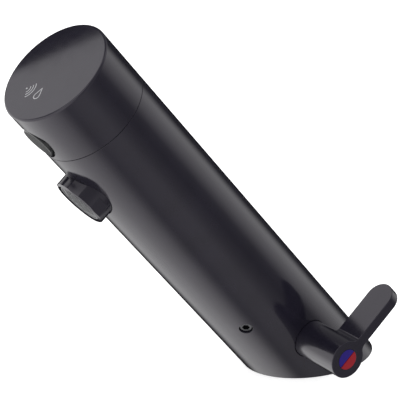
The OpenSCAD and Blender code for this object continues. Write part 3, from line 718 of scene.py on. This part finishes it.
class TAP_OT_body(Operator):
    """Builds the body shell with its openings and its softened seam edge"""

    bl_idname = "tap.body"
    bl_label = "Body"

    def execute(self, context):
        s = sizes()
        edge = s.soft_edge
        free = 0.1 * MM
        holes = [
            (pi / 2, s.hub_at, s.hub_hole_r),
            (0.0, s.outlet_at, s.sleeve_r + free),
            (s.grub_turn, s.grub_at, s.grub_r),
            (-pi / 2, s.head_grub_at, s.head_grub_r),
        ]

        def deck(radius):
            return lambda turn: radius * cos(turn) * tan(s.lean)

        shell = Shell(holes, edge)
        top = s.seam_at - edge
        shell.tube(s.body_r, deck(s.body_r), top, 1)
        shell.tube(s.shell_in, deck(s.shell_in), s.seam_at, -1)
        shell.walls(s.body_r, s.shell_in)
        shell.ends([(s.body_r, top), (s.body_r, s.seam_at, edge), (s.shell_in, s.seam_at)])
        down = body_frame().to_3x3().transposed() @ -UP
        rims = []
        for r in (s.body_r, s.shell_in):
            rims.append([(Vector((r * sin(t), -r * cos(t), deck(r)(t))), down) for t in TURNS])
        shell.rings(rims)
        shell.make("body", body_frame(), "silk_black", ["body_shell"])
        return {"FINISHED"}


class TAP_OT_head(Operator):
    """Builds the head with its flat end face, rounded edge, window opening and grooved spigot"""

    bl_idname = "tap.head"
    bl_label = "Head"

    def execute(self, context):
        s = sizes()
        edge = s.soft_edge
        foot = s.seam_at + s.seam_w
        ledge = foot + 0.6 * MM
        roof = s.body_l - 3 * MM
        start = s.body_l - s.end_edge - edge
        shell = Shell([(0.0, s.window_at, s.window_hole_r)], edge)
        shell.tube(s.body_r, lambda turn: foot + edge, start, 1)
        shell.tube(s.shell_in, lambda turn: ledge, roof, -1)
        shell.walls(s.body_r, s.shell_in)
        shell.ends([(s.body_r, start), (s.body_r, s.body_l, s.end_edge), (0, s.body_l)], 10)
        spigot_r = s.shell_in - 0.2 * MM
        spigot_in, spigot_end = spigot_r - 2 * MM, s.seam_at - 8.3 * MM
        groove_r, groove_from = spigot_r - 1 * MM, s.seam_at - 6.7 * MM
        groove_to = groove_from + 1.4 * MM
        spigot = [(s.shell_in, ledge), (spigot_in, ledge), (spigot_in, spigot_end)]
        spigot += [(spigot_r, spigot_end, 0.2 * MM), (spigot_r, groove_from), (groove_r, groove_from)]
        spigot += [(groove_r, groove_to), (spigot_r, groove_to), (spigot_r, foot)]
        shell.ends(spigot + [(s.body_r, foot, edge), (s.body_r, foot + edge)])
        shell.ends([(0, roof), (s.shell_in, roof)])
        shell.make("head", body_frame(), "silk_black", ["head_shell"])
        return {"FINISHED"}


class TAP_OT_sensor(Operator):
    """Builds the smoked sensor window and the dark seal round it"""

    bl_idname = "tap.sensor"
    bl_label = "Sensor window"

    def execute(self, context):
        s = sizes()
        place = bore_frame(s.window_at)
        back = s.body_r - s.window_t
        lens = Skin()
        back_edge, front_edge = 0.1 * MM, 0.45 * MM
        rim = [(s.window_r, back, back_edge), (s.window_r, s.body_r, front_edge)]
        lens.lathe([(0, back), *rim, (0, s.body_r)])
        lens.make("window", place, "window", ["sensor_window"])
        seal = Skin()
        fit = 0.05 * MM
        out, bore, top = s.window_hole_r - fit, s.window_r + fit, back + 1.1 * MM
        seal.lathe([(bore, top), (bore, back), (out, back), (out, top, 0.25 * MM), (bore, top)])
        seal.make("window_ring", place, "rubber", ["window_seal"])
        return {"FINISHED"}


class TAP_OT_outlet(Operator):
    """Builds the outlet: the sleeve with its spanner flats, the aerator insert and its grid"""

    bl_idname = "tap.outlet"
    bl_label = "Outlet"

    def execute(self, context):
        s = sizes()
        # The insert sits on a ledge inside the sleeve, at ledge_h from the body's axis
        ledge_r, ledge_h = 9.4 * MM, 21 * MM
        self.sleeve(s, ledge_r, ledge_h)
        self.insert(s, ledge_h + 0.05 * MM)
        self.grid(s, s.insert_r - s.insert_wall - 0.1 * MM)
        return {"FINISHED"}

    def outline(self, s):
        """The sleeve's outline with its flats as (way, distance, facing), with two at each corner."""
        half = acos(s.flats_af / 2 / s.sleeve_r)
        step = 2 * pi / s.flats_n
        out = []
        for i in range(s.flats_n):
            middle = pi / 2 - step / 2 + step * i
            for k in range(9):
                a = middle - half + 2 * half * k / 8
                out.append((heading(a), s.flats_af / 2 / cos(a - middle), heading(middle)))
            for k in range(13):
                a = middle + half + (step - 2 * half) * k / 12
                out.append((heading(a), s.sleeve_r, heading(a)))
        return out + out[:1]

    def sleeve(self, s, ledge_r, ledge_h):
        """The round foot, the walls with their flats, the round chamfer that cuts them, and the bore."""
        foot_r, foot_h, shoulder_h = 10.95 * MM, 17.1 * MM, 19.9 * MM
        face, cut, drop, lip = s.outlet_reach, s.face_cut, s.face_drop, 0.08 * MM
        cone = atan2(cut, drop)
        outline = self.outline(s)
        ways = [way for way, _, _ in outline]
        skin = Skin()
        inside_foot = [(ledge_r, ledge_h), (ledge_r, foot_h), (foot_r, foot_h, 0.2 * MM)]
        shoulder = [(foot_r, shoulder_h), (s.sleeve_r, shoulder_h, 0.15 * MM), (s.sleeve_r, s.flats_from)]
        skin.turn(ways, inside_foot + shoulder)
        step = [lifted(way * s.sleeve_r, s.flats_from) for way in ways]
        foot = [lifted(way * r, s.flats_from) for way, r, _ in outline]
        brim = [lifted(way * r, face - drop * (1 - (s.sleeve_r - r) / cut)) for way, r, _ in outline]
        tip = [lifted(way * (s.sleeve_r - cut), face) for way in ways]
        level = [UP] * len(ways)
        square = [lifted(facing, 0) for _, _, facing in outline]
        sloped = [lifted(way * cos(cone), sin(cone)) for way in ways]
        for low, high, facings in ((step, foot, level), (foot, brim, square), (brim, tip, sloped)):
            skin.rings([list(zip(low, facings)), list(zip(high, facings))])
        bore = s.sleeve_bore
        skin.turn(ways, [(s.sleeve_r - cut, face), (bore, face, lip), (bore, ledge_h), (ledge_r, ledge_h)])
        skin.make("outlet_sleeve", bore_frame(s.outlet_at), "silk_black", ["aerator_sleeve"])

    def insert(self, s, foot_h):
        """A round cup with a flange, open to the outlet's face."""
        hole_r, flange_r, flange_h, soft = 7.4 * MM, 10.8 * MM, 22.5 * MM, 0.15 * MM
        rim_h, bore_r = s.outlet_reach - s.insert_back, s.insert_r - s.insert_wall
        skin = Skin()
        flange = [(hole_r, flange_h), (hole_r, foot_h), (flange_r, foot_h, soft), (flange_r, flange_h, soft)]
        wall = [(s.insert_r, flange_h), (s.insert_r, rim_h, soft), (bore_r, rim_h, soft), (bore_r, flange_h)]
        skin.lathe(flange + wall + flange[:1])
        skin.make("aerator_insert", bore_frame(s.outlet_at), "pale_grid", ["aerator_cup"])

    def grid(self, s, grid_r):
        """A round plate of hexagonal cells with softened webs."""
        soft = 0.1 * MM
        top = s.outlet_reach - s.grid_back
        back = top - 2 * MM
        pitch = s.cell_af + s.cell_web
        cells = ceil(grid_r / pitch) + 1
        middles = []
        for row in range(-cells, cells + 1):
            for i in range(-cells, cells + 1):
                middle = Vector((pitch * (i + (0.5 if row % 2 else 0)), pitch * row * sin(pi / 3)))
                if middle.length < grid_r - s.cell_af / 2 - 0.7 * MM:
                    middles.append(middle)

        def cell(middle, grow, h):
            corner = (s.cell_af / 2 + grow) / cos(pi / 6)
            x, y = middle
            turns = [pi / 3 * k for k in range(6)]
            return [Vector((x + corner * sin(a), y + corner * cos(a), h)) for a in turns]

        skin = Skin()
        for h, up, grow in ((top, UP, soft), (back, -UP, 0)):
            skin.flat(circle(grid_r - grow, 96, h), up, [cell(m, grow, h) for m in middles])
        skin.lathe([(grid_r, back), (grid_r, top, soft), (grid_r - soft, top)], 96, 3)
        for middle in middles:
            low, high, lip = cell(middle, 0, back), cell(middle, 0, top - soft), cell(middle, soft, top)
            for k in range(6):
                n = (k + 1) % 6
                turn = pi / 3 * (k + 0.5)
                facing = Vector((-sin(turn), -cos(turn), 0))
                skin.plane([low[k], low[n], high[n], high[k]], facing)
                skin.plane([high[k], high[n], lip[n], lip[k]], (facing + UP).normalized())
        skin.make("aerator_honeycomb", bore_frame(s.outlet_at), "pale_grid", ["aerator_grid"])


class TAP_OT_lever(Operator):
    """Builds the lever: hub, blended plate with a round tip, and the recess for the index"""

    bl_idname = "tap.lever"
    bl_label = "Lever"

    def execute(self, context):
        s = sizes()
        edge, half, end = s.paddle_edge, s.paddle_t / 2, s.hub_end
        inner = end - s.paddle_w
        blend = s.paddle_blend
        out = sqrt((s.hub_r + blend) ** 2 - (half + blend) ** 2)
        touch = atan2(half + blend, out)

        def blend_arc(side):
            arc = arc_outline((out, half + blend), blend, -pi / 2, touch - pi, 10, -1)
            if side < 0:
                arc = [(Vector((p.x, -p.y)), Vector((n.x, -n.y))) for p, n in reversed(arc)]
            return arc

        def wall(line, z, inset=0.0, t=0.0):
            return [(lifted(p - n * inset, z), lifted(n * cos(t), sin(t))) for p, n in line]

        # Round the end face, then down the hub and the blends to the plate's inner side
        hub_arc = arc_outline((0, 0), s.hub_r, touch, 2 * pi - touch, 84)
        outline = blend_arc(1) + hub_arc + blend_arc(-1)
        skin = Skin()
        rings = [wall(outline, inner + edge)]
        for t in QUARTER:
            rings.append(wall(outline, end - edge + edge * sin(t), edge * (1 - cos(t)), t))
        skin.rings(rings)
        for side in (1, -1):
            rings = []
            for t in QUARTER:
                z = inner + edge - edge * sin(t)
                rings.append(wall(blend_arc(side), z, edge * (1 - cos(t)), -t))
            skin.rings(rings)
        hub = circle_outline(s.hub_r, 128)
        skin.rings([wall(hub, s.hub_from), wall(hub, inner + edge)])
        skin.flat([lifted(p, s.hub_from) for p, _ in hub[:-1]], -UP)

        # The end face with the recess for the index
        lip = 0.08 * MM
        mouth_r, floor = s.index_r + lip, end - s.index_t
        rim = [lifted(p - n * edge, end) for p, n in outline]
        rim = [p for i, p in enumerate(rim) if (p - rim[i - 1]).length > 1e-7]
        skin.flat(rim, UP, [circle(mouth_r, 96, end)])
        skin.lathe([(mouth_r, end), (s.index_r, end - lip), (s.index_r, floor), (0, floor)], 96)

        # The plate: its edge all the way round, then its two broad faces
        tip_r = s.paddle_w / 2
        tip = Vector((s.paddle_l - tip_r, end - tip_r))
        plan = [(Vector((out, end)), Vector((0, 1)))]
        for k in range(49):
            way = Vector((sin(pi * k / 48), cos(pi * k / 48)))
            plan.append((tip + tip_r * way, way))
        plan.append((Vector((out, inner)), Vector((0, -1))))
        rings = []
        for t in reversed(QUARTER):
            inset, y = edge * (1 - cos(t)), half - edge + edge * sin(t)
            points = [Vector((p.x - n.x * inset, y, p.y - n.y * inset)) for p, n in plan]
            facings = [Vector((n.x * cos(t), sin(t), n.y * cos(t))) for _, n in plan]
            rings.append(list(zip(points, facings)))
        for ring in rings[::-1]:
            rings.append([(Vector((p.x, -p.y, p.z)), Vector((n.x, -n.y, n.z))) for p, n in ring])
        skin.rings(rings)
        for side in (1, -1):
            face = [Vector((p.x - n.x * edge, side * half, p.y - n.y * edge)) for p, n in plan]
            skin.flat(face, (0, side, 0))
            arc = [lifted(p - n * edge, inner) for p, n in blend_arc(side)]
            root = 0.6 * s.hub_r
            close = [Vector((root, 0, inner)), Vector((out, 0, inner))]
            skin.flat(arc + (close if side > 0 else close[::-1]), -UP)
        skin.make("lever_body", lever_frame(), "silk_black", ["lever"], body="lever")
        return {"FINISHED"}


class TAP_OT_screws(Operator):
    """Builds the two grub screws with their hex sockets"""

    bl_idname = "tap.screws"
    bl_label = "Grub screws"

    def screw(self, name, node, place, radius, across, low, high):
        """A grub screw with a hex socket as deep as it is wide."""
        soft, mouth_r, floor = radius * 0.18, across * 0.62, high - across
        skin = Skin()
        skin.lathe([(0, low), (radius, low, soft), (radius, high, soft), (mouth_r, high)], 64)
        socket = hexagon_outline(across)
        corners = [p for p, _ in socket[:-1:2]]
        skin.flat(circle(mouth_r, 64, high), UP, [[lifted(p, high) for p in corners]])
        skin.rings([[(lifted(p, h), lifted(-n, 0)) for p, n in socket] for h in (high, floor)])
        skin.flat([lifted(p, floor) for p in corners], UP)
        skin.make(name, place, "screw_steel", [node])

    def execute(self, context):
        s = sizes()
        fit = 0.05 * MM
        radius, across = s.grub_r - fit, 3 * MM
        place = bore_frame(s.grub_at, s.grub_turn)
        low, high = s.shell_in - 3 * MM, s.body_r - 0.9 * MM
        self.screw("grub_screw", "body_grub_screw", place, radius, across, low, high)
        radius, across = s.head_grub_r - fit, 1.5 * MM
        place = bore_frame(s.head_grub_at, -pi / 2)
        low, high = s.shell_in - 2 * MM, s.body_r - 0.5 * MM
        self.screw("head_screw", "head_grub_screw", place, radius, across, low, high)
        return {"FINISHED"}


class TAP_OT_pictogram(Operator):
    """Prints the pictogram of waves and a drop on the end face"""

    bl_idname = "tap.pictogram"
    bl_label = "Pictogram"

    def stroke(self, skin, line, width, low, high, closed=False):
        """A flat band along a line of points, with square ends."""
        count = len(line)
        left, right = [], []
        for i, p in enumerate(line):
            a = line[i - 1] if i > 0 or closed else p
            b = line[(i + 1) % count] if i < count - 1 or closed else p
            way = (b - a).normalized()
            across = Vector((-way.y, way.x)) * width / 2
            left.append(p + across)
            right.append(p - across)
        for i in range(count if closed else count - 1):
            n = (i + 1) % count
            a, b, c, d = left[i], left[n], right[n], right[i]
            skin.plane([lifted(q, high) for q in (a, b, c, d)], UP)
            for q, r in ((a, b), (c, d)):
                facing = lifted((q - (a + b + c + d) / 4).normalized(), 0)
                skin.plane([lifted(q, low), lifted(r, low), lifted(r, high), lifted(q, high)], facing)

    def execute(self, context):
        s = sizes()
        skin = Skin()
        low, high = s.body_l - 0.02 * MM, s.body_l + 0.015 * MM
        source, source_r, wave_radii = Vector((-7.0, -11.5)) * MM, 0.42 * MM, (2.0, 3.35, 4.7)
        for radius in wave_radii:
            turns = [radians(-50 + 100 * k / 16) for k in range(17)]
            line = [source + radius * MM * heading(a) for a in turns]
            self.stroke(skin, line, s.mark_line, low, high)
        dot = [source + source_r * p for p, _ in circle_outline(1, 24)[:-1]]
        skin.flat([lifted(p, high) for p in dot], UP)
        bulb, point, bulb_r = Vector((2.0, -12.4)) * MM, Vector((1.6, -8.4)) * MM, 1.5 * MM
        axis = point - bulb
        start = atan2(axis.y, axis.x) + acos(bulb_r / axis.length)
        sweep = 2 * pi - 2 * acos(bulb_r / axis.length)
        drop = [bulb + bulb_r * heading(start + sweep * k / 28) for k in range(29)]
        drop += [drop[-1].lerp(point, k / 4) for k in (1, 2, 3)] + [point]
        drop += [point.lerp(drop[0], k / 4) for k in (1, 2, 3)]
        self.stroke(skin, drop, s.mark_line, low, high, True)
        grey = moulded("printed_grey", colours().marks, 0.55, 2400, 0.000004, 0.05)
        skin.make("pictogram", body_frame(), material=grey)
        return {"FINISHED"}


# Each hidden spring with its joint, the axis it shortens along, its fixed end in metres, and the share of its
# length that is left when the joint is at its limit
SPRINGS = (
    ("spring_cold", "poppet_cold_lift", (0, 0, 1), (-0.009, -0.002, 0.02037), 0.787),
    ("spring_hot", "poppet_hot_lift", (0, 0, 1), (0.009, -0.002, 0.02037), 0.787),
    ("plunger_spring", "plunger_lift", (0, -0.637424, 0.770513), (0, -0.05437, 0.07514), 0.747),
)


class TAP_OT_inner_pieces(Operator):
    """Gives every piece that keeps its solid the finish of its slot"""

    bl_idname = "tap.inner_pieces"
    bl_label = "Inner pieces"

    def execute(self, context):
        slots = {p["node"]: p["material_slot"] for p in frame["record"]["subparts"]}
        for node, piece in frame["nodes"].items():
            if piece.hide_render:
                continue
            piece.data.materials.clear()
            piece.data.materials.append(finish(slots[node]))
            piece.data.shade_smooth()
            piece.data.set_sharp_from_angle(angle=radians(30))
        for node in ("index_blue", "index_red"):
            soft = frame["nodes"][node].modifiers.new("soft rim", "BEVEL")
            soft.width = 0.08 * MM
            soft.segments = 2
            soft.limit_method = "ANGLE"
        for node, joint, axis, fixed_end, keep in SPRINGS:
            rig.squash(frame["nodes"][node], joint, axis=axis, anchor=fixed_end, keep=keep)
        return {"FINISHED"}


# The studio


def direction(azimuth, elevation):
    """The way to a place round the tap. Azimuth 0 is in front of it and 90 on the lever's side."""
    a, e = radians(azimuth), radians(elevation)
    return Vector((sin(a) * cos(e), -cos(a) * cos(e), sin(e)))


def seen(web):
    """1 where the camera sees the background, also through clear pieces."""
    rays = web.add("LightPath").outputs
    return web.maths("MAXIMUM", rays["Is Camera Ray"], rays["Is Transmission Ray"])


def panels(web, azimuth, stops):
    """Brightness by azimuth, between stops of degrees and brightness."""
    brightest = 3.0
    tones = [((at + 180) / 360, [bright / brightest] * 3) for at, bright in stops]
    return web.maths("MULTIPLY", web.ramp(azimuth, tones), brightest)


def spot(web, way, azimuth, elevation, full, none, bright):
    """A soft round panel: full and none are the angles where it is whole and gone."""
    middle = direction(azimuth, elevation)
    near = web.add("VectorMath", {0: way, 1: middle}, operation="DOT_PRODUCT").outputs["Value"]
    far, whole = cos(radians(none)), cos(radians(full))
    return web.spread(near, far, whole, 0, bright, "SMOOTHSTEP")


def sheet(name, bm, material):
    """A flat piece of the stage."""
    mesh = bpy.data.meshes.new(name)
    bm.to_mesh(mesh)
    bm.free()
    mesh.materials.append(material)
    return placed(name, mesh)


# What the gloss shows round the tap, near the level and higher up: azimuth in degrees and brightness
LOW_PANELS = (
    (-180, 1.05), (-171, 1.0), (-165, 0.62), (-160, 0.28), (-153, 0.04), (-140, 0.02), (-126, 0.0),
    (-114, 0.02), (-107.5, 0.07), (-101, 0.66), (-96, 1.22), (-84, 1.55), (-60, 1.85), (-20, 1.72),
    (15, 1.65), (45, 1.44), (62, 1.18), (74, 0.74), (84, 0.39), (98, 0.59), (112, 0.64),
    (124, 0.35), (137, 0.17), (150, 0.24), (158, 0.6), (167, 0.9), (180, 1.05),
)
HIGH_PANELS = (
    (-180, 1.0), (-150, 0.35), (-135, 0.25), (-88, 0.2), (-82, 1.1), (-78, 1.42), (-60, 1.54),
    (-51, 1.1), (-42, 0.4), (-25, 0.35), (0, 0.7), (20, 0.85), (60, 0.4), (110, 0.35),
    (140, 0.5), (165, 0.9), (180, 1.0),
)


class TAP_OT_stage(Operator):
    """Lays the pale floor and sets the studio light and the camera"""

    bl_idname = "tap.stage"
    bl_label = "Studio"

    def floor(self):
        """A matt floor that glows a little to the camera, so that it comes out white."""
        matt = {"Base Color": (*colours().floor, 1), "Roughness": 0.9, "Specular IOR Level": 0.1}
        web, brightness = Finish("studio_floor", matt), 0.72
        glow = web.add("Emission", {"Strength": web.maths("MULTIPLY", seen(web), brightness)})
        both = web.add("AddShader", {0: web.shader.outputs[0], 1: glow.outputs[0]})
        web.put(both.outputs[0], web.nodes["Material Output"].inputs["Surface"])
        bm = bmesh.new()
        bmesh.ops.create_grid(bm, x_segments=8, y_segments=8, size=3)
        floor = sheet("floor", bm, web.material)
        floor.location.z = -0.0002
        floor.visible_glossy = False
        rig.stage(floor)

    def world(self):
        """White to the camera, an even light on the pieces, and panels of light and dark in the gloss."""
        light, white = 0.85, 1.0
        world = bpy.data.worlds.new("studio")
        web = Web(world)
        way = web.add("TexCoord").outputs["Generated"]
        x, y, z = web.add("SeparateXYZ", {0: way}).outputs
        turn = web.maths("ARCTAN2", x, web.maths("MULTIPLY", y, -1.0))
        azimuth = web.maths("MULTIPLY_ADD", turn, 0.5 / pi, 0.5)
        low = panels(web, azimuth, LOW_PANELS)
        low = web.maths("ADD", low, spot(web, way, -58, -28, full=4, none=20, bright=0.5))
        high = panels(web, azimuth, HIGH_PANELS)
        high = web.maths("ADD", high, spot(web, way, 5, 45, full=8, none=25, bright=1.1))
        rise = web.spread(z, sin(radians(8)), sin(radians(24)), 0, 1)
        plain = web.spread(seen(web), 0, 1, light, white)
        glossy = web.add("LightPath").outputs["Is Glossy Ray"]
        background = web.nodes["Background"].inputs
        background["Color"].default_value = (1, 1, 1, 1)
        web.put(web.mix(glossy, plain, web.mix(rise, low, high)), background["Strength"])
        bpy.context.scene.world = world

    def card(self):
        """A small dark card near the end face, which darkens one side of it in the gloss."""
        way, distance = direction(-77, 32), 0.08
        near, far, wide = 0.0065, 0.05, 0.05
        turn = body_frame().to_3x3()
        across = (turn @ Vector((1, 1, 0))).normalized()
        across = (across - way * across.dot(way)).normalized()
        up = way.cross(across)
        if up.dot(turn @ Vector((-1, 1, 0))) < 0:
            up = -up
        centre = body_frame() @ Vector((0, 0, sizes().body_l)) + way * distance
        corners = ((-wide, near), (wide, near), (wide, far), (-wide, far))
        bm = bmesh.new()
        bm.faces.new([bm.verts.new(centre + across * a + up * b) for a, b in corners])
        matt = {"Base Color": (0.05, 0.05, 0.05, 1), "Roughness": 1.0}
        card = sheet("dark_card", bm, Finish("dark_card", matt).material)
        for ray in ("camera", "diffuse", "shadow", "transmission", "volume_scatter"):
            setattr(card, "visible_" + ray, False)
        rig.stage(card)

    def key(self):
        """An area lamp that shades without showing in the gloss. glow is how bright it is, 1 being white."""
        glow, side, distance, target = 1.3, 0.7, 1.2, Vector((0, -0.06, 0.08))
        data = bpy.data.lights.new("key", "AREA")
        data.shape = "RECTANGLE"
        data.size, data.size_y = side, side
        data.energy = glow * pi * side * side
        lamp = placed("key", data)
        back = direction(-60, 50)
        lamp.location = target + back * distance
        lamp.rotation_mode = "QUATERNION"
        lamp.rotation_quaternion = (-back).to_track_quat("-Z", "Y")
        lamp.visible_glossy = False

    def camera(self):
        """The camera, at the photograph's viewing angle."""
        data = bpy.data.cameras.new("camera")
        data.sensor_width, data.lens = 36, 183.76
        data.clip_start, data.clip_end = 0.01, 20
        camera = placed("camera", data)
        turn = Matrix(((0.5632, -0.2921, 0.7730), (0.8263, 0.1991, -0.5268), (0.0, 0.9354, 0.3535)))
        camera.rotation_mode = "QUATERNION"
        camera.rotation_quaternion = turn.to_quaternion().normalized()
        camera.location = (0.6797, -0.5233, 0.3988)
        bpy.context.scene.camera = camera

    def execute(self, context):
        self.floor()
        self.world()
        self.card()
        self.key()
        self.camera()
        bpy.context.scene.view_settings.view_transform = "Standard"
        return {"FINISHED"}


class TAP_PT_panel(Panel):
    """Lists the tap's sizes, colours and builders"""

    bl_idname = "TAP_PT_panel"
    bl_label = "Sensor basin tap"
    bl_space_type = "VIEW_3D"
    bl_region_type = "UI"
    bl_category = "Tap"

    def draw(self, context):
        for builder in BUILDERS:
            self.layout.operator(builder.bl_idname)
        for group in (sizes(), colours()):
            for name in group.__annotations__:
                self.layout.prop(group, name)


BUILDERS = (
    TAP_OT_stage,
    TAP_OT_body,
    TAP_OT_head,
    TAP_OT_sensor,
    TAP_OT_outlet,
    TAP_OT_lever,
    TAP_OT_screws,
    TAP_OT_pictogram,
    TAP_OT_inner_pieces,
)
CLASSES = (TapSizes, TapColours, *BUILDERS, TAP_PT_panel)


def register():
    for c in CLASSES:
        bpy.utils.register_class(c)
    Scene.tap_sizes = PointerProperty(type=TapSizes)
    Scene.tap_colours = PointerProperty(type=TapColours)


def unregister():
    del Scene.tap_colours
    del Scene.tap_sizes
    for c in reversed(CLASSES):
        bpy.utils.unregister_class(c)


def main():
    cad_low, cad_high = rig.bounds()
    register()
    for builder in BUILDERS:
        getattr(bpy.ops.tap, builder.bl_idname.split(".")[1])()
    low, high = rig.bounds()
    with open("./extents.json", "w") as f:
        json.dump({"cad": [list(cad_low), list(cad_high)], "visual": [list(low), list(high)]}, f, indent=1)


if __name__ == "__main__":
    main()
